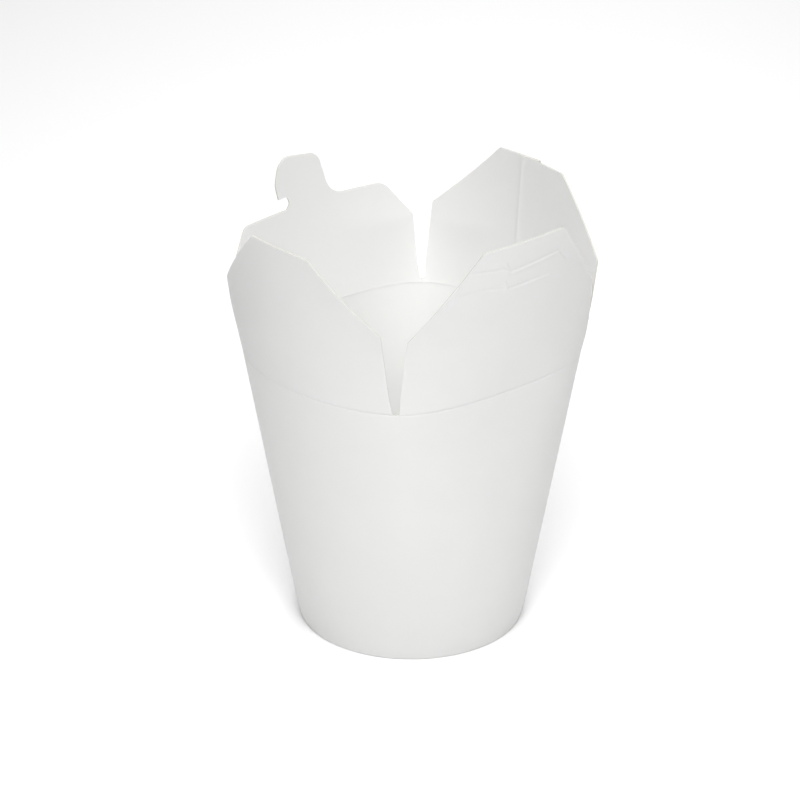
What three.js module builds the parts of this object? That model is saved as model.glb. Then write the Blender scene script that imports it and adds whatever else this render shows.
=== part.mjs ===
// Noodle takeaway box of white paperboard, open and empty.
// One blank is rolled into a flaring sleeve and glued at a side seam. Its foot is turned in round
// the skirt of a recessed base disc. Above the crease the sleeve is slit into flaps that stand up:
// a short plain flap, a slot flap, a seam flap and a tab flap. Millimetres, Z up, table at z = 0.
import * as THREE from 'three';

// Board
const BOARD = 0.5; // thickness of one ply
const HINGE_GAP = 0.3; // flap's lower edge above the crease line
const WALL_DROP = 0.05; // wall's top edge below the crease line

// Flaring sleeve, outside face
const FOOT_RADIUS = 40.5; // of the cone where it meets the table
const FLARE = 0.1814; // growth of the radius for each mm of height
const CREASE_Z = 102.8;
const FLAT_POWER = 1.4; // the flattening fades to a circle at the foot
const CORNER_BEND = 0.3; // how gently one side runs into the next at the slits
const FLAP_TOP = 48.6; // height above the crease where the second flattening holds
const FREE_HEIGHT = 24; // height above the crease from which a flap lies as a flat panel
const FLAP_SPREAD = 0.08; // how much further out than the wall a flap leans, mm for each mm
// Each side's middle lies in from the cone by these shares of its radius, at the crease and at
// the flap's top. The sides run round from +X to +Y and on.
const SIDE_FLAT = [[0.116, 0.231], [0.15, 0.2175], [0.056, 0.2], [0.14, 0.22]];

// Side seam, in the middle of the back right side
const SEAM_END = 41.4; // azimuth where the outer ply ends, degrees
const SEAM_LAP = 8.7; // width of the overlap, mm
const KNIFE = 0.03; // half width of a ply's cut edge, degrees

// Foot turned in round the skirt of the base disc
const HEM_TOP = 5.0;
const BAND_TOP = 5.9;

// Facets
const STEP = 3; // degrees
const ROW = 13; // mm
const DISC_STEP = 3.75; // degrees

const rad = THREE.MathUtils.degToRad;

// How far round from the outer ply's end, 0 to 1
function turn(azimuth) {
  return (((azimuth - SEAM_END) % 360) + 360) % 360 / 360;
}

// Sleeve's outside before the plies: a cone with its four sides flattened between the slits. The
// wall's sides run softly into each other at the slits, and a flap eases into a flat panel.
function coneRadius(azimuth, z) {
  const [atCrease, atTop] = SIDE_FLAT[Math.floor((((azimuth % 360) + 360) % 360) / 90)];
  const above = Math.max(z - CREASE_Z, 0);
  const below = Math.min(Math.max(z, 0) / CREASE_Z, 1);
  const flat = atCrease * Math.pow(below, FLAT_POWER) + (atTop - atCrease) * above / FLAP_TOP;
  const wave = Math.hypot(Math.sin(rad(2 * azimuth)), CORNER_BEND) - CORNER_BEND;
  const soft = wave / (Math.hypot(1, CORNER_BEND) - CORNER_BEND);
  const corner = Math.cos(rad(45));
  const middle = Math.cos(rad((((azimuth % 90) + 90) % 90) - 45));
  const panel = (1 - corner / middle) / (1 - corner);
  const bend = THREE.MathUtils.lerp(soft, panel, Math.min(above / FREE_HEIGHT, 1));
  return (FOOT_RADIUS + FLARE * z) * (1 - flat * bend) + FLAP_SPREAD * above;
}

// The ply winds inwards by its own thickness in one turn, so that its end lies under its start
function ply(fraction) {
  return BOARD * (0.5 - fraction);
}

function lapDegrees(z) {
  return THREE.MathUtils.radToDeg(SEAM_LAP / coneRadius(SEAM_END, z));
}

// One closed mesh from points and triangles
function solid(points, triangles) {
  const geometry = new THREE.BufferGeometry();
  geometry.setAttribute('position', new THREE.Float32BufferAttribute(points.flat(), 3));
  geometry.setIndex(triangles.flat());
  geometry.computeVertexNormals();
  return geometry;
}

function polar(azimuth, radius, z) {
  return [radius * Math.cos(rad(azimuth)), radius * Math.sin(rad(azimuth)), z];
}

// Sleeve from the table to the crease: a closed profile carried round the columns.
// Each profile point is a height and a radius, or a face of the sleeve at that height.
function sleeve() {
  const top = CREASE_Z - WALL_DROP;
  const levels = [BAND_TOP, 20, 36, 52, 68, 84, 94, top];
  const foot = [
    { z: 0.0, r: 39.45 }, { z: 0.3, r: 39.95 }, { z: 1.2, r: 40.25 }, { z: HEM_TOP, r: 41.0 },
  ];
  const hem = [
    { z: HEM_TOP, r: 40.45 }, { z: 1.2, r: 39.72 }, { z: 0.62, r: 39.35 }, { z: 0.55, r: 38.35 },
    { z: HEM_TOP, r: 39.0 }, { z: HEM_TOP, r: 38.5 }, { z: 0.4, r: 37.85 }, { z: 0.0, r: 38.15 },
  ];
  const profile = [
    ...foot,
    ...levels.map((z) => ({ z, face: 'out' })),
    ...levels.slice().reverse().map((z) => ({ z, face: 'in' })),
    ...hem,
  ];
  const lapColumns = 4;
  const columns = [];
  for (let i = 0; i < lapColumns; i++) columns.push({ lap: true, part: i / (lapColumns - 1) });
  const rest = Math.round(352 / STEP);
  for (let i = 0; i <= rest; i++) columns.push({ lap: false, part: i / rest });

  const points = [];
  for (const column of columns) {
    for (const { z, r, face } of profile) {
      const lap = lapDegrees(z);
      const from = column.lap ? KNIFE : lap + KNIFE;
      const to = column.lap ? lap - KNIFE : 360 - KNIFE;
      const azimuth = SEAM_END + THREE.MathUtils.lerp(from, to, column.part);
      let radius = r;
      if (face) {
        radius = coneRadius(azimuth, z) + ply(turn(azimuth));
        if (face === 'in') radius -= column.lap ? 2 * BOARD : BOARD;
      }
      points.push(polar(azimuth, radius, z));
    }
  }
  const across = profile.length;
  const triangles = [];
  for (let i = 0; i < columns.length; i++) {
    const next = (i + 1) % columns.length;
    for (let j = 0; j < across; j++) {
      const up = (j + 1) % across;
      const [a, b, c, d] = [i * across + j, next * across + j, next * across + up, i * across + up];
      triangles.push([a, b, c], [a, c, d]);
    }
  }
  return solid(points, triangles);
}

// Base disc with its skirt, turned about the axis
function baseDisc() {
  const rim = [
    [39.5, 5.7], [38.72, 0.95], [39.22, 0.95], [40.05, 5.5], [39.95, 5.95], [39.6, 6.2],
  ];
  const count = Math.round(360 / DISC_STEP);
  const points = [[0, 0, rim[0][1]], [0, 0, rim[rim.length - 1][1]]];
  for (let i = 0; i < count; i++) {
    for (const [r, z] of rim) points.push(polar(i * DISC_STEP, r, z));
  }
  const at = (i, j) => 2 + (i % count) * rim.length + j;
  const triangles = [];
  for (let i = 0; i < count; i++) {
    triangles.push([0, at(i + 1, 0), at(i, 0)], [1, at(i, rim.length - 1), at(i + 1, rim.length - 1)]);
    for (let j = 0; j < rim.length - 1; j++) {
      triangles.push([at(i, j), at(i + 1, j), at(i + 1, j + 1)], [at(i, j), at(i + 1, j + 1), at(i, j + 1)]);
    }
  }
  return solid(points, triangles);
}

// Flap outlines: corners [degrees from the flap's middle, mm above the crease, corner radius mm].
// Degrees are laid out at this many mm each while corners are rounded and cuts are widened.
const MM_PER_DEGREE = 0.96;
const FOOT_HALF = 44.0; // half angle at the crease, which leaves the slit between two flaps
const SLIT_HALF = 43.3; // half angle a little higher, where the slit has opened
const SLIT_Z = 7.0;

function rounded(corners) {
  const out = [];
  corners.forEach(([u, h, radius], i) => {
    const count = corners.length;
    const here = new THREE.Vector2(u * MM_PER_DEGREE, h);
    if (!radius) {
      out.push([u, h]);
      return;
    }
    const neighbour = (k) => new THREE.Vector2(corners[k][0] * MM_PER_DEGREE, corners[k][1]);
    const back = neighbour((i + count - 1) % count).sub(here);
    const ahead = neighbour((i + 1) % count).sub(here);
    const half = Math.acos(back.dot(ahead) / back.length() / ahead.length()) / 2;
    const reach = Math.min(radius / Math.tan(half), 0.48 * back.length(), 0.48 * ahead.length());
    const start = here.clone().add(back.clone().setLength(reach));
    const end = here.clone().add(ahead.clone().setLength(reach));
    const curve = new THREE.QuadraticBezierCurve(start, here, end);
    const sweep = Math.PI - 2 * half;
    const steps = Math.max(2, Math.ceil(sweep / 0.35));
    for (const p of curve.getPoints(steps)) out.push([p.x / MM_PER_DEGREE, p.y]);
  });
  return out;
}

// A knife cut: a narrow loop round a line of points
function cut(line, width) {
  const left = [];
  const right = [];
  line.forEach(([u, h], i) => {
    const a = line[Math.max(i - 1, 0)];
    const b = line[Math.min(i + 1, line.length - 1)];
    const along = new THREE.Vector2((b[0] - a[0]) * MM_PER_DEGREE, b[1] - a[1]).setLength(width / 2);
    left.push([u - along.y / MM_PER_DEGREE, h + along.x]);
    right.push([u + along.y / MM_PER_DEGREE, h - along.x]);
  });
  return [...right, ...left.reverse()];
}

// Edge beside a slit, from the crease up: half angles at the crease and at SLIT_Z
const HIDDEN_SLIT = [FOOT_HALF, SLIT_HALF];

function sides(left, right) {
  return {
    right: [[right[0], HINGE_GAP, 0], [right[1], SLIT_Z, 3]],
    left: [[-left[1], SLIT_Z, 3], [-left[0], HINGE_GAP, 0]],
  };
}

function plainOutline({ slits, endLeft, endRight, topLeft, topRight, middle = [] }) {
  const { left, right } = sides(...slits);
  return rounded([
    ...right, [...endRight, 1], [...topRight, 1.5], ...middle, [...topLeft, 1.5], [...endLeft, 1], ...left,
  ]);
}

const SHOULDER = 38.1; // tab flap's shoulders above the crease
const NECK = [-9.4, 10.4]; // where the tab leaves the shoulders, degrees
const HEAD_TOP = 56.0;
const BARB = [14.5, 41.5]; // tip of the hook under the tab's head

function tabOutline() {
  const { left, right } = sides([43.4, 42.6], HIDDEN_SLIT);
  return rounded([
    ...right, [41.5, 23.5, 1.5], [31.8, SHOULDER - 1.2, 3.5], [NECK[1] + 0.9, SHOULDER - 0.9, 0.6],
    [NECK[1] - 1.0, 39.2, 1.6], [NECK[1] + 0.1, BARB[1] + 0.3, 0.8], [...BARB, 0.3], [15.2, 46.8, 7],
    [13.0, HEAD_TOP - 3.0, 5], [9.2, HEAD_TOP, 5], [-5.3, HEAD_TOP - 1.8, 5], [NECK[0], SHOULDER, 8],
    [-31.0, SHOULDER + 0.2, 6], [-41.2, 24.7, 3], ...left,
  ]);
}

const FLAPS = {
  plain_flap: {
    centre: 225,
    outline: plainOutline({
      slits: [HIDDEN_SLIT, [43.0, 42.2]], endLeft: [-39.1, 26.6], endRight: [40.3, 30.3],
      topLeft: [-14.3, 51.1], topRight: [13.7, 51.1],
    }),
    cuts: [],
  },
  slot_flap: {
    centre: 315,
    outline: plainOutline({
      slits: [[44.4, 44.2], HIDDEN_SLIT], endLeft: [-41.9, 28.2], endRight: [39.0, 29.2],
      topLeft: [-17.3, 55.6], topRight: [17.3, 56.1],
    }),
    cuts: [
      cut([[-7.6, 49.7], [-5.6, 46.3], [16.4, 48.2], [20.2, 44.1]], 0.4),
      cut([[-7.4, 43.1], [-6.2, 40.2], [12.4, 41.0]], 0.4),
    ],
  },
  seam_flap: {
    centre: 45,
    outline: plainOutline({
      slits: [HIDDEN_SLIT, [44.5, 44.4]], endLeft: [-40.6, 31.5], endRight: [42.7, 29.7],
      topLeft: [-16.1, 54.6], topRight: [16.6, 55.8],
      middle: [[SEAM_END - 45 + KNIFE, 55.7, 0], [SEAM_END - 45 - KNIFE, 55.1, 0]],
    }),
    cuts: [],
  },
  tab_flap: { centre: 135, outline: tabOutline(), cuts: [] },
};

// Point of a flap's face. In the seam flap the inner ply's edge follows the lap's width.
const SEAM_U = SEAM_END - 45;
const LAP_U = 5.0;

function flapPoint(centre, u, h, face) {
  const z = CREASE_Z + h;
  let offset = u;
  let plies = 1;
  if (centre === 45 && u > SEAM_U) {
    const edge = SEAM_U + lapDegrees(z);
    if (u < LAP_U) {
      offset = THREE.MathUtils.mapLinear(u, SEAM_U, LAP_U, SEAM_U, edge);
      plies = 2;
    } else {
      offset = THREE.MathUtils.mapLinear(u, LAP_U, 45, edge, 45);
    }
  }
  const azimuth = centre + offset;
  const radius = coneRadius(azimuth, z) + ply(turn(azimuth));
  return polar(azimuth, face === 'in' ? radius - plies * BOARD : radius, z);
}

// A flap: its outline is sliced into columns, each slice is meshed on both faces, and the free
// edges are closed by walls between the faces
function flap({ centre, outline, cuts }) {
  const loops = [outline, ...cuts];
  const wanted = [];
  for (const loop of loops) for (const [u] of loop) wanted.push(u);
  if (centre === 45) wanted.push(SEAM_U - KNIFE, SEAM_U + KNIFE, LAP_U - KNIFE, LAP_U + KNIFE);
  const kept = wanted.slice();
  for (let u = -45; u <= 45; u += STEP) {
    if (kept.every((v) => Math.abs(v - u) > STEP / 3)) wanted.push(u);
  }
  wanted.sort((a, b) => a - b);
  const columns = wanted.filter((u, i) => i === 0 || u - wanted[i - 1] > 1e-6);

  const slices = [];
  const marks = columns.map(() => new Set());
  const tidy = (h) => Math.round(h * 1e6) / 1e6;
  for (let i = 0; i < columns.length - 1; i++) {
    const [left, right] = [columns[i], columns[i + 1]];
    const middle = (left + right) / 2;
    const crossings = [];
    for (const loop of loops) {
      loop.forEach(([u0, h0], k) => {
        const [u1, h1] = loop[(k + 1) % loop.length];
        if (Math.min(u0, u1) < middle && Math.max(u0, u1) > middle) {
          const at = (u) => tidy(h0 + (h1 - h0) * (u - u0) / (u1 - u0));
          crossings.push({ left: at(left), right: at(right), middle: at(middle) });
        }
      });
    }
    crossings.sort((a, b) => a.middle - b.middle);
    for (let k = 0; k + 1 < crossings.length; k += 2) {
      const [low, high] = [crossings[k], crossings[k + 1]];
      slices.push({ i, low, high });
      marks[i].add(low.left).add(high.left);
      marks[i + 1].add(low.right).add(high.right);
      for (let row = ROW; row < 60; row += ROW) {
        if (row > low.left + 2 && row < high.left - 2) marks[i].add(row);
        if (row > low.right + 2 && row < high.right - 2) marks[i + 1].add(row);
      }
    }
  }

  const vertices = [];
  const lookup = new Map();
  const vertex = (i, h) => {
    const key = i + '/' + h;
    if (!lookup.has(key)) {
      lookup.set(key, vertices.length);
      vertices.push([columns[i], h]);
    }
    return lookup.get(key);
  };
  const chain = (i, low, high) => [...marks[i]].filter((h) => h >= low && h <= high)
    .sort((a, b) => a - b).map((h) => vertex(i, h));
  const faces = [];
  for (const { i, low, high } of slices) {
    const left = chain(i, low.left, high.left);
    const right = chain(i + 1, low.right, high.right);
    let [a, b] = [0, 0];
    while (a < left.length - 1 || b < right.length - 1) {
      const nextLeft = a < left.length - 1 ? vertices[left[a + 1]][1] : Infinity;
      const nextRight = b < right.length - 1 ? vertices[right[b + 1]][1] : Infinity;
      if (nextLeft < nextRight) {
        faces.push([left[a], right[b], left[a + 1]]);
        a += 1;
      } else {
        faces.push([left[a], right[b], right[b + 1]]);
        b += 1;
      }
    }
  }

  const free = new Map();
  for (const [a, b, c] of faces) {
    for (const [p, q] of [[a, b], [b, c], [c, a]]) {
      if (free.has(q + '/' + p)) free.delete(q + '/' + p);
      else free.set(p + '/' + q, [p, q]);
    }
  }
  const count = vertices.length;
  const points = [
    ...vertices.map(([u, h]) => flapPoint(centre, u, h, 'out')),
    ...vertices.map(([u, h]) => flapPoint(centre, u, h, 'in')),
  ];
  const triangles = [];
  for (const [a, b, c] of faces) triangles.push([a, b, c], [c + count, b + count, a + count]);
  for (const [p, q] of free.values()) triangles.push([q, p, p + count], [q, p + count, q + count]);
  return solid(points, triangles);
}

const group = new THREE.Group();
group.name = 'noodle_box';

function addPiece(name, geometry, colour) {
  const material = new THREE.MeshStandardMaterial({ color: colour, roughness: 0.6, metalness: 0 });
  material.name = name + '_board';
  const mesh = new THREE.Mesh(geometry, material);
  mesh.name = name;
  group.add(mesh);
}

addPiece('wall_sleeve', sleeve(), '#f3f3f1');
addPiece('base_disc', baseDisc(), '#f0f0ee');
for (const [name, shape] of Object.entries(FLAPS)) addPiece(name, flap(shape), '#f3f3f1');

export default group;
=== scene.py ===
"""Looks of an open noodle takeaway box of white paperboard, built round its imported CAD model.

The board is drawn flat, as columns of points with an azimuth, a height and a depth through the
board, and a Geometry Nodes tree rolls it on to the flaring sleeve.
"""

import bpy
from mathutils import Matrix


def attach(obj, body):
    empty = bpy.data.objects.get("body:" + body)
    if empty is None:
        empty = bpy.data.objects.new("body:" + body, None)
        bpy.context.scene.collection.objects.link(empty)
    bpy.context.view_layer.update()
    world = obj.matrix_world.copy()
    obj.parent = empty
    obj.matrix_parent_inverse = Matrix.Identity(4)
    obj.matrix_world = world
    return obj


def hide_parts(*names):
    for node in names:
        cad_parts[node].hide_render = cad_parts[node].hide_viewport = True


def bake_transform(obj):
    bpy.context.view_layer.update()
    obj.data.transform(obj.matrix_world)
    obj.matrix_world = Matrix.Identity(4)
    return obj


bl_info = {
    "name": "Noodle Takeaway Box",
    "version": (1, 0, 0),
    "blender": (4, 5, 0),
    "location": "3D View > Sidebar > Noodle Box",
    "description": "Builds an open paperboard noodle box with its creased flaps, and a plain studio",
    "category": "Add Mesh",
}

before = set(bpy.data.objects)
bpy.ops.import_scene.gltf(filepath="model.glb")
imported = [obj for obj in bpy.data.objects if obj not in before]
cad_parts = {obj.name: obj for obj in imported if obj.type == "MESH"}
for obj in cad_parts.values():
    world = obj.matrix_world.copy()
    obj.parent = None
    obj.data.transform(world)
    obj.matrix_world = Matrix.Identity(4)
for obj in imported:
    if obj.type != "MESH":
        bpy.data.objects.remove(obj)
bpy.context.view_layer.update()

import math

import bpy
import numpy as np
from bpy.props import FloatProperty, FloatVectorProperty, IntProperty, PointerProperty
from mathutils import Vector

MM = 0.001  # metres in a millimetre


def linear(code):
    """An sRGB hex colour as linear RGB."""
    values = [int(code[i:i + 2], 16) / 255 for i in (1, 3, 5)]
    return tuple(v / 12.92 if v <= 0.04045 else ((v + 0.055) / 1.055) ** 2.4 for v in values)


# Sizes and colours a user would change


class NoodleBoxSleeve(bpy.types.PropertyGroup):
    """Sizes of the rolled sleeve."""

    foot_radius: FloatProperty(
        name="Foot radius", description="Radius of the sleeve's cone at the table",
        default=0.0405, unit="LENGTH")
    flare: FloatProperty(
        name="Flare", description="Growth of the radius for each unit of height", default=0.1814)
    crease_height: FloatProperty(
        name="Crease height", description="Height of the flaps' crease above the table",
        default=0.1028, unit="LENGTH")
    board: FloatProperty(
        name="Board", description="Thickness of one ply of board", default=0.0005, unit="LENGTH")
    seam_azimuth: FloatProperty(
        name="Seam azimuth", description="Where the outer ply ends, in degrees from +X", default=41.4)
    seam_lap: FloatProperty(
        name="Seam lap", description="Width of the glued overlap", default=0.0087, unit="LENGTH")
    crease_depth: FloatProperty(
        name="Crease depth", description="Depth of the pressed crease",
        default=0.00016, unit="LENGTH")
    crease_width: FloatProperty(
        name="Crease width", description="Half width of the pressed crease",
        default=0.00042, unit="LENGTH")
    ribs: IntProperty(
        name="Hem ribs", description="Ribs pressed into the hem inside the foot", default=96)


class NoodleBoxFlaps(bpy.types.PropertyGroup):
    """Sizes of the flaps, above the crease."""

    slit_radius: FloatProperty(
        name="Slit radius", description="Radius of the round bottom of the slit between two flaps",
        default=0.0012, unit="LENGTH")
    narrow_slit_radius: FloatProperty(
        name="Back slit radius", description="Radius of the round bottom of the slit at the back",
        default=0.0009, unit="LENGTH")
    blend_height: FloatProperty(
        name="Fold height", description="Height over which the board bends when a flap folds",
        default=0.0026, unit="LENGTH")
    shoulder: FloatProperty(
        name="Shoulder", description="Height of the tab flap's shoulders above the crease",
        default=0.0381, unit="LENGTH")
    head_top: FloatProperty(
        name="Tab head", description="Height of the tab's head above the crease",
        default=0.0560, unit="LENGTH")
    score_depth: FloatProperty(
        name="Score depth", description="Depth of the score lines pressed beside the slot's cuts",
        default=0.00012, unit="LENGTH")
    edge_lift: FloatProperty(
        name="Edge lift", description="How far the seam's inner ply stands off at its edge",
        default=0.00016, unit="LENGTH")
    cut_depth: FloatProperty(
        name="Cut depth", description="How far the board is pressed in along a knife cut",
        default=0.00011, unit="LENGTH")


class NoodleBoxFinish(bpy.types.PropertyGroup):
    """Colours of the board and the floor."""

    # Painted light: the inner face's colour is set brighter than the outer face's, standing in for
    # light that the inside lacks; both faces are the same board.
    inner_white_painted_light: FloatVectorProperty(
        name="Inner coat", description="Colour of the bright film on the board's inner face",
        subtype="COLOR", default=linear("#e4e4e3"))
    # Set greyer than the inner face's colour; the difference between the two faces is painted light,
    # not a different coat.
    board_white: FloatVectorProperty(
        name="Outer coat", description="Colour of the matt coat on the board's outer face",
        subtype="COLOR", default=linear("#dcdcdb"))
    board_shade: FloatVectorProperty(
        name="Board mottle", description="Slightly greyer colour that mottles the board",
        subtype="COLOR", default=linear("#d9d9d8"))
    # Partly painted shade: bare pulp is a little warmer and darker than the coat, and this colour is
    # set darker still so that the cut edges read as shaded lines.
    cut_edge_pulp_and_shade: FloatVectorProperty(
        name="Cut edge", description="Colour of the bare pulp where the board is cut",
        subtype="COLOR", default=linear("#b6b4ae"))
    floor: FloatVectorProperty(
        name="Floor", description="Colour of the floor", subtype="COLOR", default=linear("#fafafa"))


class NoodleBoxStudio(bpy.types.PropertyGroup):
    """Camera and light."""

    azimuth: FloatProperty(
        name="Azimuth", description="Camera azimuth, where 0 looks along +Y",
        subtype="ANGLE", default=math.radians(4.28))
    elevation: FloatProperty(
        name="Elevation", description="Camera elevation above the horizon",
        subtype="ANGLE", default=math.radians(25.36))
    distance: FloatProperty(
        name="Distance", description="Camera distance from the point it looks at",
        default=1.053, unit="LENGTH")
    lens: FloatProperty(
        name="Lens", description="Focal length on a 36 mm sensor, in mm", default=133.78)
    key: FloatProperty(
        name="Key light", description="Power of the soft light in front, in watts", default=13.7)
    key_azimuth: FloatProperty(
        name="Key azimuth", description="Where the key light stands, counted as the camera's azimuth",
        subtype="ANGLE", default=math.radians(5.5))
    key_elevation: FloatProperty(
        name="Key elevation", description="Height of the key light above the horizon",
        subtype="ANGLE", default=math.radians(47))
    top: FloatProperty(
        name="Top light", description="Power of the long soft light overhead, in watts", default=9.9)
    sky: FloatProperty(name="Sky", description="Strength of the even white surroundings", default=0.12)


# Small tools


def add(tree, kind, settings=None, links=None):
    """Adds a node, sets its properties, and fills its inputs with values or links."""
    node = tree.nodes.new(kind)
    for key, value in (settings or {}).items():
        setattr(node, key, value)
    for key, value in (links or {}).items():
        socket = node.inputs[key]
        if isinstance(value, bpy.types.NodeSocket):
            tree.links.new(value, socket)
        elif isinstance(value, bpy.types.Node):
            tree.links.new(value.outputs[0], socket)
        else:
            socket.default_value = value
    return node


def new_material(name):
    material = bpy.data.materials.new(name)
    material.use_nodes = True
    tree = material.node_tree
    tree.nodes.clear()
    return material, tree


# Materials


GLOW = 0.2  # mm that light travels in the board, so that a little shines through one ply
PEEL = 0.9  # mm, grain of the coating over the fibres, drawn coarser than real so that it shows
CLOUD = 14.0  # mm, broad unevenness of the board
PULP = 0.35  # mm, grain of the torn fibres at a cut, drawn coarser than real so that it shows
PULP_LIFT = 1.3  # how much brighter the light fibres at a cut are than the dark ones
PAINT = 900.0  # specks of the floor's paint in a metre, about 1.1 mm each


def coated_board(name, white, shade, rough):
    """Bleached paperboard, extrusion coated: clean white, nearly matt, with the faint orange peel of
    the coating over the fibres and a broad soft unevenness that a rolled board keeps."""
    material, tree = new_material(name)
    where = add(tree, "ShaderNodeTexCoord").outputs["Object"]
    fibre = add(tree, "ShaderNodeTexNoise", {"noise_dimensions": "3D"},
                {"Vector": where, "Scale": 1 / (PEEL * MM), "Detail": 3.0, "Roughness": 0.6})
    cloud = add(tree, "ShaderNodeTexNoise", {"noise_dimensions": "3D"},
                {"Vector": where, "Scale": 1 / (CLOUD * MM), "Detail": 2.0, "Roughness": 0.5})
    mottle = add(tree, "ShaderNodeMix", {"data_type": "RGBA"},
                 {0: cloud.outputs[0], 6: (*white, 1), 7: (*shade, 1)})
    gloss = add(tree, "ShaderNodeMapRange", None,
                {0: fibre.outputs[0], 1: 0.3, 2: 0.7, 3: rough - 0.05, 4: rough + 0.05})
    peel = add(tree, "ShaderNodeBump", None,
               {"Strength": 0.10, "Distance": 0.06 * MM, "Height": fibre.outputs[0]})
    wave = add(tree, "ShaderNodeBump", None,
               {"Strength": 0.25, "Distance": 0.35 * MM, "Height": cloud.outputs[0], "Normal": peel})
    shader = add(tree, "ShaderNodeBsdfPrincipled", None,
                 {"Base Color": mottle.outputs[2], "Roughness": gloss.outputs[0], "IOR": 1.45,
                  "Normal": wave, "Subsurface Weight": 1.0,
                  "Subsurface Radius": (1.0, 0.97, 0.92), "Subsurface Scale": GLOW * MM})
    add(tree, "ShaderNodeOutputMaterial", None, {"Surface": shader})
    return material


def outer_face(finish):
    """The blank's printing side, with a matt coat; its colour is set a little greyer than the inside's,
    so the two faces are shaded and lit copies of one board.
    """
    return coated_board("matt_coated_paperboard", finish.board_white, finish.board_shade, 0.58)


def inner_face(finish):
    """The food side, with a thin film of polyethylene, slightly glossier than the outside; its colour
    is painted brighter than the outside's as painted light.
    """
    return coated_board("paperboard_inside_painted_light", finish.inner_white_painted_light, finish.inner_white_painted_light, 0.48)


def cut_board(finish):
    """Bare pulp where a die has cut the board: matt, a little warmer, with a fine ragged grain; its
    colour is set darker than bare pulp, as painted shade on the edges.
    """
    material, tree = new_material("die_cut_edge_pulp_and_shade")
    where = add(tree, "ShaderNodeTexCoord").outputs["Object"]
    grain = add(tree, "ShaderNodeTexNoise", {"noise_dimensions": "3D"},
                {"Vector": where, "Scale": 1 / (PULP * MM), "Detail": 4.0, "Roughness": 0.7})
    light = [PULP_LIFT * value for value in finish.cut_edge_pulp_and_shade]
    tone = add(tree, "ShaderNodeMix", {"data_type": "RGBA"},
               {0: grain.outputs[0], 6: (*finish.cut_edge_pulp_and_shade, 1), 7: (*light, 1)})
    rough = add(tree, "ShaderNodeBump", None,
                {"Strength": 0.4, "Distance": 0.05 * MM, "Height": grain.outputs[0]})
    shader = add(tree, "ShaderNodeBsdfPrincipled", None,
                 {"Base Color": tone.outputs[2], "Roughness": 0.85, "IOR": 1.45, "Normal": rough})
    add(tree, "ShaderNodeOutputMaterial", None, {"Surface": shader})
    return material


def studio_floor(finish):
    """Matt painted studio board: even and pale, with no grain that shows."""
    material, tree = new_material("matt_studio_board")
    where = add(tree, "ShaderNodeTexCoord").outputs["Object"]
    speck = add(tree, "ShaderNodeTexNoise", {"noise_dimensions": "3D"},
                {"Vector": where, "Scale": PAINT, "Detail": 2.0})
    bump = add(tree, "ShaderNodeBump", None,
               {"Strength": 0.05, "Distance": 0.1 * MM, "Height": speck.outputs[0]})
    shader = add(tree, "ShaderNodeBsdfPrincipled", None,
                 {"Base Color": (*finish.floor, 1), "Roughness": 0.9, "Normal": bump})
    add(tree, "ShaderNodeOutputMaterial", None, {"Surface": shader})
    return material


def shared(name, maker):
    """The named material, made the first time that a piece asks for it."""
    return bpy.data.materials.get(name) or maker(bpy.context.scene.noodle_box_finish)


# The rule that rolls flat board on to the sleeve

FLAT_POWER = 1.4  # the flattening of the sides fades to a circle at the foot
CORNER_BEND = 0.3  # how gently one side runs into the next at the slits
FLAP_TOP = 48.6  # mm above the crease where the second flattening holds
FREE_HEIGHT = 24.0  # mm above the crease from which a flap lies as a flat panel
FLAP_SPREAD = 0.08  # how much further out than the wall a flap leans, mm for each mm
# Share of the radius by which each side's middle lies in, at the crease and at the flap's top,
# from +X round to +Y and on
SIDE_FLAT = ((0.116, 0.231), (0.15, 0.2175), (0.056, 0.2), (0.14, 0.22))
CORNER = math.cos(math.radians(45))  # a panel spans a quarter turn, 45 degrees each way
BEAD = 0.3  # height of the bead inside, as a share of the groove outside
GLUE = 1.04  # in one turn the board winds inwards by this many times its thickness
CREASE_ANGLE = math.radians(40)  # faces that meet at more than this are drawn with a sharp edge


def cone_radius(azimuth, height):
    """Outside radius of the sleeve in mm before the plies, at azimuth in degrees and height in mm."""
    sizes = bpy.context.scene.noodle_box_sleeve
    crease = sizes.crease_height / MM
    near, far = SIDE_FLAT[int(azimuth % 360 // 90)]
    above = max(height - crease, 0)
    flat = near * min(max(height, 0) / crease, 1) ** FLAT_POWER + (far - near) * above / FLAP_TOP
    wave = math.hypot(math.sin(math.radians(2 * azimuth)), CORNER_BEND) - CORNER_BEND
    soft = wave / (math.hypot(1, CORNER_BEND) - CORNER_BEND)
    panel = (1 - CORNER / math.cos(math.radians(azimuth % 90 - 45))) / (1 - CORNER)
    bend = soft + (panel - soft) * min(above / FREE_HEIGHT, 1)
    return (sizes.foot_radius / MM + sizes.flare * height) * (1 - flat * bend) + FLAP_SPREAD * above


def lap_degrees(height):
    """Angle of the glued overlap, which keeps its width in mm up the sleeve."""
    sizes = bpy.context.scene.noodle_box_sleeve
    return math.degrees(sizes.seam_lap / MM / cone_radius(sizes.seam_azimuth, height))


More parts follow.
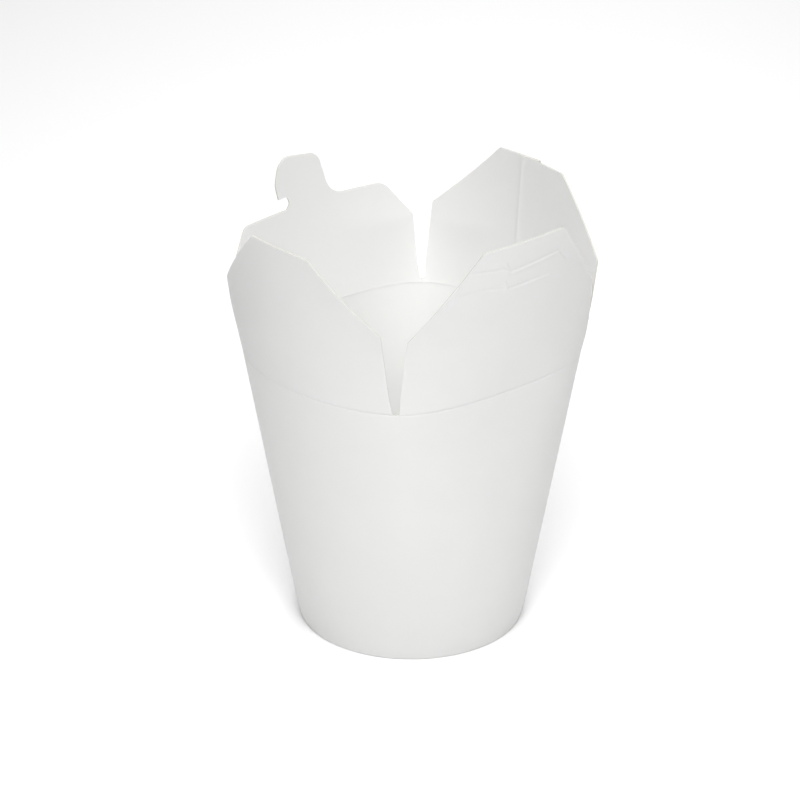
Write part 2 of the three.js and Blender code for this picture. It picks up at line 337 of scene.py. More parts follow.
def roll_tree():
    """Geometry Nodes: points with X the azimuth in degrees, Y the height and Z the depth in mm are
    rolled on to the sleeve. The attributes near_flat, far_flat and pressed come with the mesh."""
    name = "roll_board_on_to_sleeve"
    if name in bpy.data.node_groups:
        return bpy.data.node_groups[name]
    tree = bpy.data.node_groups.new(name, "GeometryNodeTree")
    face = tree.interface
    face.new_socket("Geometry", in_out="OUTPUT", socket_type="NodeSocketGeometry")
    face.new_socket("Geometry", in_out="INPUT", socket_type="NodeSocketGeometry")
    for label in ("Foot radius", "Flare", "Crease height", "Board", "Seam azimuth", "Crease depth",
                  "Crease width"):
        face.new_socket(label, in_out="INPUT", socket_type="NodeSocketFloat")
    for label in ("Outer face", "Inner face", "Cut edge"):
        face.new_socket(label, in_out="INPUT", socket_type="NodeSocketMaterial")
    given = tree.nodes.new("NodeGroupInput").outputs
    kind = "ShaderNodeMath"

    position = add(tree, "GeometryNodeInputPosition")
    azimuth, height, depth = add(tree, "ShaderNodeSeparateXYZ", None, {0: position}).outputs
    near, far, pressed, cut, inside = (
        add(tree, "GeometryNodeInputNamedAttribute", {"data_type": kept_as}, {"Name": label}).outputs[0]
        for label, kept_as in (("near_flat", "FLOAT"), ("far_flat", "FLOAT"), ("pressed", "FLOAT"),
                               ("cut", "BOOLEAN"), ("inside", "BOOLEAN")))

    # Flattening: fades below the crease, grows above it
    up = add(tree, kind, {"operation": "DIVIDE"}, {0: height, 1: given["Crease height"]})
    risen = add(tree, "ShaderNodeClamp", None, {"Value": up.outputs[0], "Min": 0.0, "Max": 1.0})
    share = add(tree, kind, {"operation": "POWER"}, {0: risen, 1: FLAT_POWER})
    above = add(tree, kind, {"operation": "SUBTRACT"}, {0: height, 1: given["Crease height"]})
    over = add(tree, kind, {"operation": "MAXIMUM"}, {0: above, 1: 0.0})
    growth = add(tree, kind, {"operation": "MULTIPLY"}, {
        0: add(tree, kind, {"operation": "SUBTRACT"}, {0: far, 1: near}),
        1: add(tree, kind, {"operation": "DIVIDE"}, {0: over, 1: FLAP_TOP})})
    flat = add(tree, kind, {"operation": "MULTIPLY_ADD"}, {0: near, 1: share, 2: growth})

    # Bend of a side between two slits: nothing at the slits, 1 in the middle. The wall's sides run
    # softly into each other, and a flap eases into a flat panel.
    angle = add(tree, kind, {"operation": "RADIANS"}, {0: azimuth})
    wave = add(tree, kind, {"operation": "SINE"}, {
        0: add(tree, kind, {"operation": "MULTIPLY"}, {0: angle, 1: 2.0})})
    square = add(tree, kind, {"operation": "MULTIPLY_ADD"}, {0: wave, 1: wave, 2: CORNER_BEND ** 2})
    root = add(tree, kind, {"operation": "SQRT"}, {0: square})
    full = math.hypot(1, CORNER_BEND) - CORNER_BEND
    soft = add(tree, kind, {"operation": "DIVIDE"}, {
        0: add(tree, kind, {"operation": "SUBTRACT"}, {0: root, 1: CORNER_BEND}), 1: full})
    off = add(tree, kind, {"operation": "SUBTRACT"}, {
        0: add(tree, kind, {"operation": "FLOORED_MODULO"}, {0: azimuth, 1: 90.0}), 1: 45.0})
    middle = add(tree, kind, {"operation": "COSINE"}, {
        0: add(tree, kind, {"operation": "RADIANS"}, {0: off})})
    chord = add(tree, kind, {"operation": "DIVIDE"}, {0: CORNER, 1: middle})
    panel = add(tree, kind, {"operation": "DIVIDE"}, {
        0: add(tree, kind, {"operation": "SUBTRACT"}, {0: 1.0, 1: chord}), 1: 1 - CORNER})
    bend = add(tree, "ShaderNodeMapRange", None, {0: over, 1: 0.0, 2: FREE_HEIGHT, 3: soft, 4: panel})

    cone = add(tree, kind, {"operation": "MULTIPLY_ADD"}, {
        0: height, 1: given["Flare"], 2: given["Foot radius"]})
    kept = add(tree, kind, {"operation": "SUBTRACT"}, {
        0: 1.0, 1: add(tree, kind, {"operation": "MULTIPLY"}, {0: flat, 1: bend})})
    lean = add(tree, kind, {"operation": "MULTIPLY"}, {0: over, 1: FLAP_SPREAD})
    side = add(tree, kind, {"operation": "MULTIPLY_ADD"}, {0: cone, 1: kept, 2: lean})

    # The board winds inwards by its thickness in one turn from the outer ply's end
    turned = add(tree, kind, {"operation": "SUBTRACT"}, {0: azimuth, 1: given["Seam azimuth"]})
    turn = add(tree, kind, {"operation": "DIVIDE"}, {0: turned, 1: 360.0})
    wound = add(tree, kind, {"operation": "MULTIPLY"}, {
        0: add(tree, kind, {"operation": "SUBTRACT"}, {0: 0.5, 1: turn}),
        1: add(tree, kind, {"operation": "MULTIPLY"}, {0: given["Board"], 1: GLUE})})

    # Pressed crease and scores: soft grooves outside, and a lower bead inside
    across = add(tree, kind, {"operation": "DIVIDE"}, {0: above, 1: given["Crease width"]})
    fall = add(tree, kind, {"operation": "EXPONENT"}, {
        0: add(tree, kind, {"operation": "MULTIPLY"}, {
            0: add(tree, kind, {"operation": "MULTIPLY"}, {0: across, 1: across}), 1: -1.0})})
    pushed = add(tree, kind, {"operation": "MULTIPLY_ADD"}, {
        0: fall, 1: given["Crease depth"], 2: pressed})
    kept_inside = add(tree, "ShaderNodeMapRange", None,
                      {0: depth, 1: 0.0, 2: given["Board"], 3: 1.0, 4: BEAD})
    groove = add(tree, kind, {"operation": "MULTIPLY"}, {0: pushed, 1: kept_inside})

    outer = add(tree, kind, {"operation": "ADD"}, {0: side, 1: wound})
    inward = add(tree, kind, {"operation": "ADD"}, {0: depth, 1: groove})
    radius = add(tree, kind, {"operation": "SUBTRACT"}, {0: outer, 1: inward})
    x = add(tree, kind, {"operation": "MULTIPLY"}, {
        0: radius, 1: add(tree, kind, {"operation": "COSINE"}, {0: angle})})
    y = add(tree, kind, {"operation": "MULTIPLY"}, {
        0: radius, 1: add(tree, kind, {"operation": "SINE"}, {0: angle})})
    point = add(tree, "ShaderNodeCombineXYZ", None, {0: x, 1: y, 2: height})
    metres = add(tree, "ShaderNodeVectorMath", {"operation": "SCALE"}, {0: point, "Scale": MM})
    rolled = add(tree, "GeometryNodeSetPosition", None,
                 {"Geometry": given["Geometry"], "Position": metres})

    real = add(tree, "GeometryNodeRealizeInstances", None, {0: rolled})
    coated = add(tree, "GeometryNodeSetMaterial", None,
                 {"Geometry": real, "Material": given["Outer face"]})
    lined = add(tree, "GeometryNodeSetMaterial", None,
                {"Geometry": coated, "Selection": inside, "Material": given["Inner face"]})
    edged = add(tree, "GeometryNodeSetMaterial", None,
                {"Geometry": lined, "Selection": cut, "Material": given["Cut edge"]})
    add(tree, "NodeGroupOutput", None, {0: edged})
    return tree


def rolled_piece(name, flat):
    """Rolls flat board on to the sleeve and returns it as a plain mesh object."""
    points, faces = flat["points"], flat["faces"]
    mesh = bpy.data.meshes.new(name + "_flat")
    mesh.from_pydata(points.tolist(), [], faces)
    sides = [SIDE_FLAT[int(a % 360 // 90)] for a in points[:, 0]]
    for label, values in (("near_flat", [s[0] for s in sides]), ("far_flat", [s[1] for s in sides]),
                          ("pressed", flat["pressed"])):
        values = np.array(values, np.float32)
        mesh.attributes.new(label, "FLOAT", "POINT").data.foreach_set("value", values)
    for label in ("cut", "inside"):
        mesh.attributes.new(label, "BOOLEAN", "FACE").data.foreach_set("value", flat[label])
    source = bpy.data.objects.new(name + "_flat", mesh)
    bpy.context.scene.collection.objects.link(source)

    sizes = bpy.context.scene.noodle_box_sleeve
    modifier = source.modifiers.new("Roll", "NODES")
    tree = roll_tree()
    modifier.node_group = tree
    values = {
        "Foot radius": sizes.foot_radius / MM, "Flare": sizes.flare,
        "Crease height": sizes.crease_height / MM, "Board": sizes.board / MM,
        "Seam azimuth": sizes.seam_azimuth, "Crease depth": sizes.crease_depth / MM,
        "Crease width": sizes.crease_width / MM,
        "Outer face": shared("matt_coated_paperboard", outer_face),
        "Inner face": shared("paperboard_inside_painted_light", inner_face),
        "Cut edge": shared("die_cut_edge_pulp_and_shade", cut_board),
    }
    for item in tree.interface.items_tree:
        if item.in_out == "INPUT" and item.name in values:
            modifier[item.identifier] = values[item.name]
    evaluated = source.evaluated_get(bpy.context.evaluated_depsgraph_get())
    result = bpy.data.meshes.new_from_object(evaluated)
    bpy.data.objects.remove(source)
    bpy.data.meshes.remove(mesh)
    if len(result.vertices) != len(points):
        raise RuntimeError(name + " did not roll on to the sleeve")
    for label in ("near_flat", "far_flat", "pressed", "cut", "inside"):
        result.attributes.remove(result.attributes[label])
    result.name = name
    piece = bpy.data.objects.new(name, result)
    bpy.context.scene.collection.objects.link(piece)
    result.shade_smooth()
    result.set_sharp_from_angle(angle=CREASE_ANGLE)
    return piece


# Flat board

ROW_GAP = 0.02  # mm, the least distance from a row to an outline
CUT_WIDTH = 0.04  # mm
MM_PER_DEGREE = 0.96  # how the outlines are laid out while corners are rounded


def nearest(line, u, h):
    """Distance in mm from a line of points to the point (u, h)."""
    p = np.array((u * MM_PER_DEGREE, h))
    corners = np.array(line) * (MM_PER_DEGREE, 1)
    best = math.inf
    for a, b in zip(corners, corners[1:]):
        t = min(max((p - a) @ (b - a) / ((b - a) @ (b - a)), 0), 1)
        best = min(best, float(np.linalg.norm(a + t * (b - a) - p)))
    return best


def flat_board(loops, columns, rows, thickness, azimuth, height, press=None, lift=None):
    """A flat sheet of board from closed outlines of [degrees, mm] points. It is sliced at the
    columns, each slice is meshed between its rows, and the free edges get a wall. The walls of the
    loops after the first are knife cuts, whose coat is drawn over the edge."""
    marks = [set() for _ in columns]
    slices = []

    def height_on(start, end, u):
        for corner in (start, end):
            if corner[0] == u:
                return corner[1]
        return round(start[1] + (end[1] - start[1]) * (u - start[0]) / (end[0] - start[0]), 5)

    for i, (left, right) in enumerate(zip(columns, columns[1:])):
        middle = (left + right) / 2
        crossings = []
        for loop in loops:
            for start, end in zip(loop, loop[1:] + loop[:1]):
                if min(start[0], end[0]) < middle < max(start[0], end[0]):
                    crossings.append([height_on(start, end, u) for u in (middle, left, right)])
        crossings.sort()
        for low, high in zip(crossings[::2], crossings[1::2]):
            slices.append((i, low, high))
            for column, side in ((i, 1), (i + 1, 2)):
                marks[column] |= {low[side], high[side]}
                marks[column] |= {r for r in rows if low[side] + ROW_GAP < r < high[side] - ROW_GAP}
    ordered = [sorted(m) for m in marks]
    number, points = {}, []
    for i, heights in enumerate(ordered):
        for h in heights:
            number[i, h] = len(points)
            points.append((columns[i], h))

    faces = []
    for i, low, high in slices:
        left = [number[i, h] for h in ordered[i] if low[1] <= h <= high[1]]
        right = [number[i + 1, h] for h in ordered[i + 1] if low[2] <= h <= high[2]]
        a = b = 0
        while a < len(left) - 1 or b < len(right) - 1:
            next_left = points[left[a + 1]][1] if a < len(left) - 1 else math.inf
            next_right = points[right[b + 1]][1] if b < len(right) - 1 else math.inf
            if abs(next_left - next_right) < 1e-6:
                faces.append((left[a], right[b], right[b + 1], left[a + 1]))
                a, b = a + 1, b + 1
            elif next_left < next_right:
                faces.append((left[a], right[b], left[a + 1]))
                a += 1
            else:
                faces.append((left[a], right[b], right[b + 1]))
                b += 1
    free = {}
    for face in faces:
        for p, q in zip(face, face[1:] + face[:1]):
            if (q, p) in free:
                del free[q, p]
            else:
                free[p, q] = True
    count = len(points)
    walls = [(q, p, p + count, q + count) for p, q in free]
    bare = [all(nearest(loop, *points[p]) > CUT_WIDTH for loop in loops[1:]) for p, _ in free]
    flat = np.array(points)
    pressed = np.array([press(u, h) for u, h in points]) if press else np.zeros(count)
    outer = np.column_stack([flat[:, 0] + azimuth, flat[:, 1] + height, np.zeros(count)])
    if lift:
        outer[:, 2] += [lift(u, h) for u, h in points]
    inner = outer + (0, 0, thickness)
    back = [tuple(v + count for v in reversed(face)) for face in faces]
    return {
        "points": np.vstack([outer, inner]), "faces": faces + back + walls,
        "cut": [False] * (2 * len(faces)) + bare,
        "inside": [False] * len(faces) + [True] * len(faces) + [False] * len(walls),
        "pressed": np.tile(pressed, 2),
    }


def joined(*sheets):
    """Several flat sheets as one."""
    faces, start = [], 0
    for sheet in sheets:
        faces += [tuple(v + start for v in face) for face in sheet["faces"]]
        start += len(sheet["points"])
    return {
        "points": np.vstack([s["points"] for s in sheets]), "faces": faces,
        "cut": [c for s in sheets for c in s["cut"]],
        "inside": [c for s in sheets for c in s["inside"]],
        "pressed": np.concatenate([s["pressed"] for s in sheets]),
    }


# Wall

OUTER_FOOT = (  # height and depth in mm, from the table up to the plain wall
    (0.0, 1.7), (0.0, 1.15), (0.06, 0.84), (0.25, 0.62), (0.6, 0.5), (1.2, 0.44), (2.2, 0.34),
    (3.4, 0.21), (4.6, 0.09), (5.4, 0.02))
HEM = (  # from the wall's inside round the fold and up, over and down the hem
    (4.6, 0.62), (3.4, 0.73), (2.2, 0.85), (1.2, 0.96), (0.8, 1.05), (0.58, 1.3), (0.52, 1.7),
    (0.6, 2.1), (0.9, 2.22), (2.0, 2.27), (3.5, 2.34), (4.9, 2.41), (5.04, 2.5), (5.08, 2.66),
    (5.04, 2.82), (4.9, 2.91), (4.0, 2.87), (3.0, 2.83), (2.0, 2.8), (0.9, 2.76), (0.4, 2.7),
    (0.12, 2.55), (0.0, 2.3))
HEM_INNER = 2.74  # depth past which a point is on the hem's inner face
HEM_LINED = 3  # points at the start of HEM that still show the wall's inner film
RIB_DEPTH = 0.09  # mm
RIB_BAND = (0.5, 4.95)  # heights in mm between which the hem is ribbed
WALL_COLUMNS = 480
WALL_START = 5.9  # mm above the table, the first plain row over the foot
WALL_ROW = 2.0  # mm between the plain rows
CREASE_BAND = 3.0  # mm below the crease where the plain rows end
CREASE_ROWS = (2.2, 1.5, 1.1, 0.85, 0.65, 0.5, 0.36, 0.24, 0.12, 0)  # mm below the crease


def wall_levels(crease):
    """Heights of the wall's rows, close together at the crease."""
    plain = np.arange(WALL_START, crease - CREASE_BAND, WALL_ROW)
    return [*plain, *(crease - below for below in CREASE_ROWS)]


class NOODLEBOX_OT_wall(bpy.types.Operator):
    """Rolls the wall with its lapped side seam and the hem turned in at its foot"""

    bl_idname = "noodle_box.wall"
    bl_label = "Wall"

    def execute(self, context):
        sizes = context.scene.noodle_box_sleeve
        crease, board = sizes.crease_height / MM, sizes.board / MM
        levels = wall_levels(crease)
        profile = [*OUTER_FOOT, *((z, 0.0) for z in levels),
                   *((z, board) for z in reversed(levels)), *HEM]
        points, faces, cut, inside = [], [], [], []
        for i in range(WALL_COLUMNS + 1):
            for z, depth in profile:
                turned = i / WALL_COLUMNS * (360 + lap_degrees(z))
                if depth > HEM_INNER and RIB_BAND[0] < z < RIB_BAND[1]:
                    depth += RIB_DEPTH * (1 - math.cos(math.radians(sizes.ribs * turned)))
                points.append((sizes.seam_azimuth + turned, z, depth))
        across = len(profile)
        top = len(OUTER_FOOT) + len(levels) - 1  # the outer face's last point, at the crease
        lined = top + len(levels) + HEM_LINED  # the last point that shows the inner film
        for i in range(WALL_COLUMNS):
            for j in range(across):
                up = (j + 1) % across
                here, there = i * across, (i + 1) * across
                faces.append((here + j, there + j, there + up, here + up))
                cut.append(j == top)
                inside.append(top < j <= lined)
        last = WALL_COLUMNS * across
        # The strip's two ends, as quads from the outer face to the inner one
        pairs = [(j, 2 * top + 1 - j) for j in range(len(OUTER_FOOT), top + 1)]
        for start, turned_over in ((0, False), (last, True)):
            for (a, b), (c, d) in zip(pairs, pairs[1:]):
                quad = (start + a, start + c, start + d, start + b)
                faces.append(quad[::-1] if turned_over else quad)
            foot = (*range(pairs[0][1], across), *range(0, pairs[0][0] + 1))
            ring = tuple(start + j for j in foot)
            faces.append(ring[::-1] if turned_over else ring)
        ends = len(faces) - len(cut)
        piece = rolled_piece("sleeve_wall", {
            "points": np.array(points), "faces": faces, "cut": cut + [True] * ends,
            "inside": inside + [False] * ends, "pressed": np.zeros(len(points))})
        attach(piece, "box")
        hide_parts("wall_sleeve")
        return {"FINISHED"}


# Base disc

DISC_PROFILE = (  # radius and height in mm: the underside, the skirt, and the top
    (0.0, 5.7), (14.0, 5.7), (28.0, 5.7), (38.6, 5.7), (39.25, 5.68), (39.45, 5.55), (39.42, 5.3),
    (39.1, 3.2), (38.74, 1.05), (38.78, 0.96), (39.16, 0.96), (39.22, 1.05), (39.6, 3.2), (40.0, 5.3),
    (40.02, 5.6), (39.95, 5.86), (39.78, 6.06), (39.5, 6.17), (39.1, 6.2), (38.0, 6.19), (28.0, 6.2),
    (14.0, 6.2), (0.0, 6.2))
DISC_COLUMNS = 240
SKIRT_ANGLE = math.radians(50)  # faces of the disc that meet at more than this get a sharp edge


class NOODLEBOX_OT_base_disc(bpy.types.Operator):
    """Turns the recessed base disc with the skirt that the foot's hem holds"""

    bl_idname = "noodle_box.base_disc"
    bl_label = "Base disc"

    def execute(self, context):
        inner = DISC_PROFILE[1:-1]
        points = [(0, 0, DISC_PROFILE[0][1] * MM), (0, 0, DISC_PROFILE[-1][1] * MM)]
        for i in range(DISC_COLUMNS):
            a = 2 * math.pi * i / DISC_COLUMNS
            points += [(r * MM * math.cos(a), r * MM * math.sin(a), z * MM) for r, z in inner]
        across = len(inner)
        faces = []
        for i in range(DISC_COLUMNS):
            here, there = 2 + i * across, 2 + (i + 1) % DISC_COLUMNS * across
            faces.append((0, there, here))
            faces.append((1, here + across - 1, there + across - 1))
            faces += [(here + j, there + j, there + j + 1, here + j + 1) for j in range(across - 1)]
        mesh = bpy.data.meshes.new("foot_disc")
        mesh.from_pydata(points, [], faces)
        # The inner face's material, whose colour is painted brighter as painted light.
        mesh.materials.append(shared("paperboard_inside_painted_light", inner_face))
        mesh.shade_smooth()
        mesh.set_sharp_from_angle(angle=SKIRT_ANGLE)
        piece = bpy.data.objects.new("foot_disc", mesh)
        context.scene.collection.objects.link(piece)
        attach(piece, "box")
        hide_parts("base_disc")
        return {"FINISHED"}


# Flaps

SLIT_TOP = 7.0  # mm above the crease where a slit's edge takes its final slope
SLIT_EASE = 3  # mm, radius of that turn
FRONT_SLIT = 269.25  # azimuth of the slit between the plain and the slot flap
BACK_SLIT = 90.6  # azimuth of the slit between the seam and the tab flap
BACK_SLIT_FOOT = 1.2  # mm above the crease where the back slit ends

# Middle of each flap, in degrees from +X. The seam's inner ply is the end of the same turn.
PLAIN_MIDDLE, SLOT_MIDDLE, SEAM_MIDDLE, TAB_MIDDLE = 225, 315, 45, 135

# Each flap's corners above its slits, from its right end over the top to its left end, as
# [degrees from the flap's middle, mm above the crease, radius in mm]
PLAIN_TOP = ((40.3, 30.3, 1), (13.7, 51.1, 1.5), (-14.3, 51.1, 1.5), (-39.1, 26.6, 1))
SLOT_TOP = ((39.0, 29.2, 1), (17.3, 56.1, 1.5), (-17.3, 55.6, 1.5), (-41.9, 28.2, 1))
OUTER_PLY_TOP = ((42.6, 29.1, 1), (16.6, 55.5, 1.5))
INNER_PLY_TOP = ((-16.1, 54.6, 1.5), (-40.6, 31.5, 1))
PLAIN_OPENED, SLOT_OPENED, SEAM_OPENED, TAB_OPENED = 42.2, 44.2, 44.4, 42.6  # at SLIT_TOP, degrees
SEAM_TOP = 55.7  # mm above the crease where the two plies of the seam end together
PLY_NOTCH = (0.06, 55.2)  # degrees past the outer ply's end, and the inner ply's height from there
LAP_HEIGHTS = (0.0, 14.0, 28.0, 42.0, 55.6)  # mm above the crease, corners of the lap's slanting edge
NECK = (-9.4, 10.4)  # degrees where the tab leaves the shoulders
BARB = (14.5, 41.5)  # tip of the hook under the tab's head

SLOT_LINES = (  # knife cuts and the score lines that lead to them, [degrees, mm above the crease]
    {"cut": [(-7.6, 49.7), (-5.6, 46.3), (16.4, 48.2), (20.2, 44.1)],
     "score": [(-21.4, 49.2), (-8.7, 47.8), (-6.4, 46.9)]},
    {"cut": [(-7.4, 43.1), (-6.2, 40.2), (12.4, 41.0)],
     "score": [(-27.0, 41.7), (-17.9, 42.1), (-7.6, 40.9)]},
)
SCORE_WIDTH, GROOVE_WIDTH, LIP_WIDTH = 0.4, 0.5, 0.6  # mm over which a pressed line fades
LIP_DROP = 0.9  # mm, how far below a knife cut its lip stands
LIP_SHARE = 1.4  # the lip's height as a share of the cut's depth
LIFT_WIDTH = 1.2  # mm over which the inner ply's edge comes back to the outer ply
LIFT_START = 8.0  # mm above the crease from which that edge stands off in full

COLUMN_STEP = 1.0  # degrees
SLOT_COLUMNS = np.arange(-29, 21, 0.33)  # degrees, close together across the slot's lines
LAP_COLUMNS = np.arange(0, 7, 0.4)  # degrees, close together across the lap's edge
ROW_STEP = 1.6  # mm
SLOT_BAND = (39.0, 51.0)  # mm above the crease, the heights of the slot's lines
SLOT_ROW = 0.25  # mm between rows there
FOLD_ROW = 0.11  # mm between rows where the board bends
FOLD_MARGIN = 0.6  # mm over the bend where those rows end
TALL_MARGIN = 1.5  # mm over the bend where the rows of ROW_STEP start
ROWS_TOP = 60  # mm above the crease, higher than any flap
COLUMN_GAP = 0.3  # degrees, the least distance between a column and an outline's corner
ARC_STEP = 0.14  # radians, the most that one chord of a rounded corner turns
SIDE_SHARE = 0.48  # the most of a side that one rounded corner takes


def rounded(corners):
    """Outline of [degrees, mm] points from corners with a radius in mm each."""
    out = []
    for i, (u, h, radius) in enumerate(corners):
        here = Vector((u * MM_PER_DEGREE, h))
        if not radius:
            out.append((u, h))
            continue
        back, ahead = (Vector((corners[k][0] * MM_PER_DEGREE, corners[k][1])) - here
                       for k in (i - 1, (i + 1) % len(corners)))
        half = back.angle(ahead) / 2
        reach = min(radius / math.tan(half), SIDE_SHARE * back.length, SIDE_SHARE * ahead.length)
        start, end = here + back.normalized() * reach, here + ahead.normalized() * reach
        steps = max(2, math.ceil((math.pi - 2 * half) / ARC_STEP))
        for k in range(steps + 1):
            t = k / steps
            p = start * (1 - t) ** 2 + here * 2 * t * (1 - t) + end * t * t
            out.append((p.x / MM_PER_DEGREE, p.y))
    return out


def slit_side(sign, radius, centre=45.0, opened=43.3, bottom=0.0):
    """Corners up one side of a flap, from the round bottom of its slit to where the slit has opened.
    Angles count from the flap's middle."""
    reach = radius / MM
    arc = [(centre - reach * math.sin(a) / MM_PER_DEGREE, bottom + reach - reach * math.cos(a))
           for a in np.radians((0, 18, 36, 54, 72, 90))]
    start = [(centre, 0.0)] if bottom else []
    return [(sign * u, h, 0) for u, h in (*start, *arc)] + [(sign * opened, SLIT_TOP, SLIT_EASE)]


def knife_cut(line, width):
    """A narrow closed loop round a line of points."""
    left, right = [], []
    for i, (u, h) in enumerate(line):
        a, b = line[max(i - 1, 0)], line[min(i + 1, len(line) - 1)]
        along = Vector(((b[0] - a[0]) * MM_PER_DEGREE, b[1] - a[1])).normalized() * width / 2
        left.append((u - along.y / MM_PER_DEGREE, h + along.x))
        right.append((u + along.y / MM_PER_DEGREE, h - along.x))
    return right + left[::-1]


def score(lines, depth, cut_depth):
    """A function that gives the depth in mm pressed in at a point: a soft groove round each score
    line and knife cut, and a lip that stands out just below the cut and catches the light."""

    def soft(line, u, h, width):
        return math.exp(-(nearest(line, u, h) / width) ** 2)

    def press(u, h):
        total = 0.0
        for line in lines:
            lip = [(x, y - LIP_DROP) for x, y in line["cut"]]
            total += depth * soft(line["score"], u, h, SCORE_WIDTH)
            total += cut_depth * soft(line["cut"], u, h, GROOVE_WIDTH)
            total -= cut_depth * LIP_SHARE * soft(lip, u, h, LIP_WIDTH)
        return total

    return press


def flap_columns(loops, extra=()):
    """Column angles: every corner of the outlines, and an even spacing between them."""
    wanted = sorted({u for loop in loops for u, _ in loop} | {round(float(u), 4) for u in extra})
    low, high = wanted[0], wanted[-1]
    for u in np.arange(math.ceil(low), high, COLUMN_STEP):
        if all(abs(u - v) > COLUMN_GAP for v in wanted):
            wanted.append(float(u))
    return sorted(wanted)


def tab_corners(shoulder, head):
    """Corners of the tab flap above its slits: shoulders, neck, hook and head."""
    return [
        (41.5, 23.5, 1.5), (31.8, shoulder - 1.2, 3.5), (NECK[1] + 0.9, shoulder - 0.9, 0.6),
        (NECK[1] - 1.0, 39.2, 1.6), (NECK[1] + 0.1, BARB[1] + 0.3, 0.8), (*BARB, 0.3), (15.2, 46.8, 7),
        (13.0, head - 3.0, 5), (9.2, head, 5), (-5.3, head - 1.8, 5), (NECK[0], shoulder, 8),
        (-31.0, shoulder + 0.2, 6), (-41.2, 24.7, 3),
    ]


class NOODLEBOX_OT_flaps(bpy.types.Operator):
    """Cuts, creases and rolls the flaps that close the box"""

    bl_idname = "noodle_box.flaps"
    bl_label = "Flaps"

    def execute(self, context):
        sizes, sleeve = context.scene.noodle_box_flaps, context.scene.noodle_box_sleeve
        crease, board = sleeve.crease_height / MM, sleeve.board / MM
        seam = sleeve.seam_azimuth - SEAM_MIDDLE
        wide, narrow = sizes.slit_radius, sizes.narrow_slit_radius
        hidden_right, hidden_left = slit_side(1, wide), slit_side(-1, wide)[::-1]
        fold = sizes.blend_height / MM
        fold_rows = list(np.arange(FOLD_ROW, fold + FOLD_MARGIN, FOLD_ROW))
        tall_rows = list(np.arange(fold + TALL_MARGIN, ROWS_TOP, ROW_STEP))

        wide_rows = [*fold_rows, *tall_rows]
        coarse_rows = [r for r in wide_rows if not SLOT_BAND[0] <= r <= SLOT_BAND[1]]
        slot_rows = [*coarse_rows, *np.arange(*SLOT_BAND, SLOT_ROW)]

        def sheet(outline, centre, cuts=(), press=None, extra=(), rows=wide_rows, lift=None):
            loops = [rounded(outline), *cuts]
            loops = [[(round(u, 4), round(h, 4)) for u, h in loop] for loop in loops]
            columns = flap_columns(loops, extra)
            return flat_board(loops, columns, rows, board, centre, crease, press, lift)

        plain_side = slit_side(1, wide, FRONT_SLIT - PLAIN_MIDDLE, PLAIN_OPENED)
        plain = sheet([*plain_side, *PLAIN_TOP, *hidden_left], PLAIN_MIDDLE)

        slot_side = slit_side(-1, wide, SLOT_MIDDLE - FRONT_SLIT, SLOT_OPENED)[::-1]
        slot = sheet(
            [*hidden_right, *SLOT_TOP, *slot_side], SLOT_MIDDLE,
            cuts=[knife_cut(line["cut"], CUT_WIDTH) for line in SLOT_LINES],
            press=score(SLOT_LINES, sizes.score_depth / MM, sizes.cut_depth / MM),
            extra=SLOT_COLUMNS, rows=slot_rows)

        def lifted(u, h):
            """The inner ply's glued edge stands off a little."""
            inside = (seam + lap_degrees(crease + h) - u) * MM_PER_DEGREE
            share = min(h / LIFT_START, 1) * math.exp(-(inside / LIFT_WIDTH) ** 2)
            return sizes.edge_lift / MM * share

        seam_side = slit_side(1, narrow, BACK_SLIT - SEAM_MIDDLE, SEAM_OPENED, BACK_SLIT_FOOT)
        outer_ply = sheet(
            [(seam, 0.0, 0), *seam_side, *OUTER_PLY_TOP, (seam, SEAM_TOP, 0)], SEAM_MIDDLE)
        lap = [(seam + lap_degrees(crease + h), h, 0) for h in LAP_HEIGHTS]
        notch = (seam - PLY_NOTCH[0], PLY_NOTCH[1], 0)
        inner_ply = sheet(
            [*lap, (seam, SEAM_TOP, 0), notch, *INNER_PLY_TOP, *hidden_left], SEAM_MIDDLE + 360,
            extra=LAP_COLUMNS, lift=lifted)

        tab_side = slit_side(-1, narrow, TAB_MIDDLE - BACK_SLIT, TAB_OPENED, BACK_SLIT_FOOT)[::-1]
        tab_top = tab_corners(sizes.shoulder / MM, sizes.head_top / MM)
        tab = sheet([*hidden_right, *tab_top, *tab_side], TAB_MIDDLE)

        for name, node, flat in (
                ("lid_flap_plain", "plain_flap", plain), ("lid_flap_slot", "slot_flap", slot),
                ("lid_flap_seam", "seam_flap", joined(outer_ply, inner_ply)),
                ("lid_flap_tab", "tab_flap", tab)):
            piece = rolled_piece(name, flat)
            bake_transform(piece)
            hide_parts(node)
        return {"FINISHED"}


# Stage

FLOOR_HALF = 4.0  # metres, as the other sizes of the stage
AIM = Vector((0, 0, 0.06075))  # the point that the camera and the key light look at
KEY_DISTANCE = 1.2
KEY_SIZE = (0.7, 0.7)
TOP_PLACE = Vector((0, 0.7, 0.85))
TOP_SIZE = (0.6, 2.1)
FRAME_SHIFT = (-0.0144, 0.0682)  # sets the box where the photograph has it
SENSOR = 36.0  # mm


def direction(azimuth, elevation):
    """Unit vector from the box towards a camera or light, where azimuth 0 stands on -Y."""
    across = math.cos(elevation)
    return Vector((math.sin(azimuth) * across, -math.cos(azimuth) * across, math.sin(elevation)))


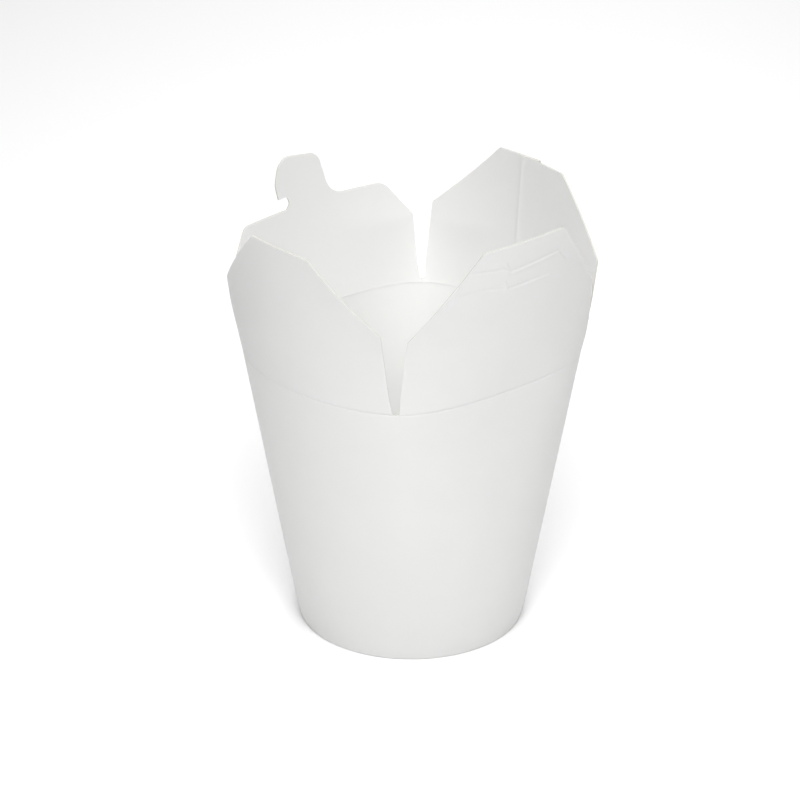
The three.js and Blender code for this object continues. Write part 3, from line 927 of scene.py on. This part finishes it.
class NOODLEBOX_OT_stage(bpy.types.Operator):
    """Lays a pale floor, sets soft studio light and places the camera"""

    bl_idname = "noodle_box.stage"
    bl_label = "Stage"

    def execute(self, context):
        scene, studio = context.scene, context.scene.noodle_box_studio
        corners = [(x * FLOOR_HALF, y * FLOOR_HALF, 0) for x, y in ((-1, -1), (1, -1), (1, 1), (-1, 1))]
        mesh = bpy.data.meshes.new("floor")
        mesh.from_pydata(corners, [], [(0, 1, 2, 3)])
        mesh.materials.append(shared("matt_studio_board", studio_floor))
        floor = bpy.data.objects.new("floor", mesh)
        scene.collection.objects.link(floor)

        world = bpy.data.worlds.new("studio_white")
        scene.world = world
        world.use_nodes = True
        world.node_tree.nodes.clear()
        sky = add(world.node_tree, "ShaderNodeBackground", None,
                  {"Color": (1, 1, 1, 1), "Strength": studio.sky})
        add(world.node_tree, "ShaderNodeOutputWorld", None, {"Surface": sky})

        key_place = AIM + KEY_DISTANCE * direction(studio.key_azimuth, studio.key_elevation)
        for name, place, aim, size, power in (
                ("key_light", key_place, AIM - key_place, KEY_SIZE, studio.key),
                ("top_light", TOP_PLACE, Vector((0, 0, -1)), TOP_SIZE, studio.top)):
            data = bpy.data.lights.new(name, "AREA")
            data.shape, data.energy = "RECTANGLE", power
            data.size, data.size_y = size
            light = bpy.data.objects.new(name, data)
            light.location = place
            light.rotation_euler = aim.to_track_quat("-Z", "Y").to_euler()
            scene.collection.objects.link(light)

        data = bpy.data.cameras.new("camera")
        data.sensor_width, data.lens = SENSOR, studio.lens
        data.shift_x, data.shift_y = FRAME_SHIFT
        camera = bpy.data.objects.new("camera", data)
        back = direction(studio.azimuth, studio.elevation)
        camera.location = AIM + back * studio.distance
        camera.rotation_euler = (-back).to_track_quat("-Z", "Y").to_euler()
        scene.collection.objects.link(camera)
        scene.camera = camera
        scene.view_settings.view_transform = "Standard"
        return {"FINISHED"}


# Panel and registration


class NOODLEBOX_PT_panel(bpy.types.Panel):
    """Lists the steps and the values"""

    bl_idname = "NOODLEBOX_PT_panel"
    bl_label = "Noodle Box"
    bl_space_type = "VIEW_3D"
    bl_region_type = "UI"
    bl_category = "Noodle Box"

    def draw(self, context):
        for operator in OPERATORS:
            self.layout.operator(operator.bl_idname)
        for label in GROUPS:
            group = getattr(context.scene, label)
            for key in group.__annotations__:
                self.layout.prop(group, key)


GROUPS = {
    "noodle_box_sleeve": NoodleBoxSleeve, "noodle_box_flaps": NoodleBoxFlaps,
    "noodle_box_finish": NoodleBoxFinish, "noodle_box_studio": NoodleBoxStudio,
}
OPERATORS = (NOODLEBOX_OT_wall, NOODLEBOX_OT_base_disc, NOODLEBOX_OT_flaps, NOODLEBOX_OT_stage)


def register():
    for cls in (*GROUPS.values(), *OPERATORS, NOODLEBOX_PT_panel):
        bpy.utils.register_class(cls)
    for label, cls in GROUPS.items():
        setattr(bpy.types.Scene, label, PointerProperty(type=cls))


def unregister():
    for label in GROUPS:
        delattr(bpy.types.Scene, label)
    for cls in (NOODLEBOX_PT_panel, *reversed(OPERATORS), *reversed(GROUPS.values())):
        bpy.utils.unregister_class(cls)


def main():
    register()
    bpy.ops.noodle_box.wall()
    bpy.ops.noodle_box.base_disc()
    bpy.ops.noodle_box.flaps()
    bpy.ops.noodle_box.stage()


if __name__ == "__main__":
    main()
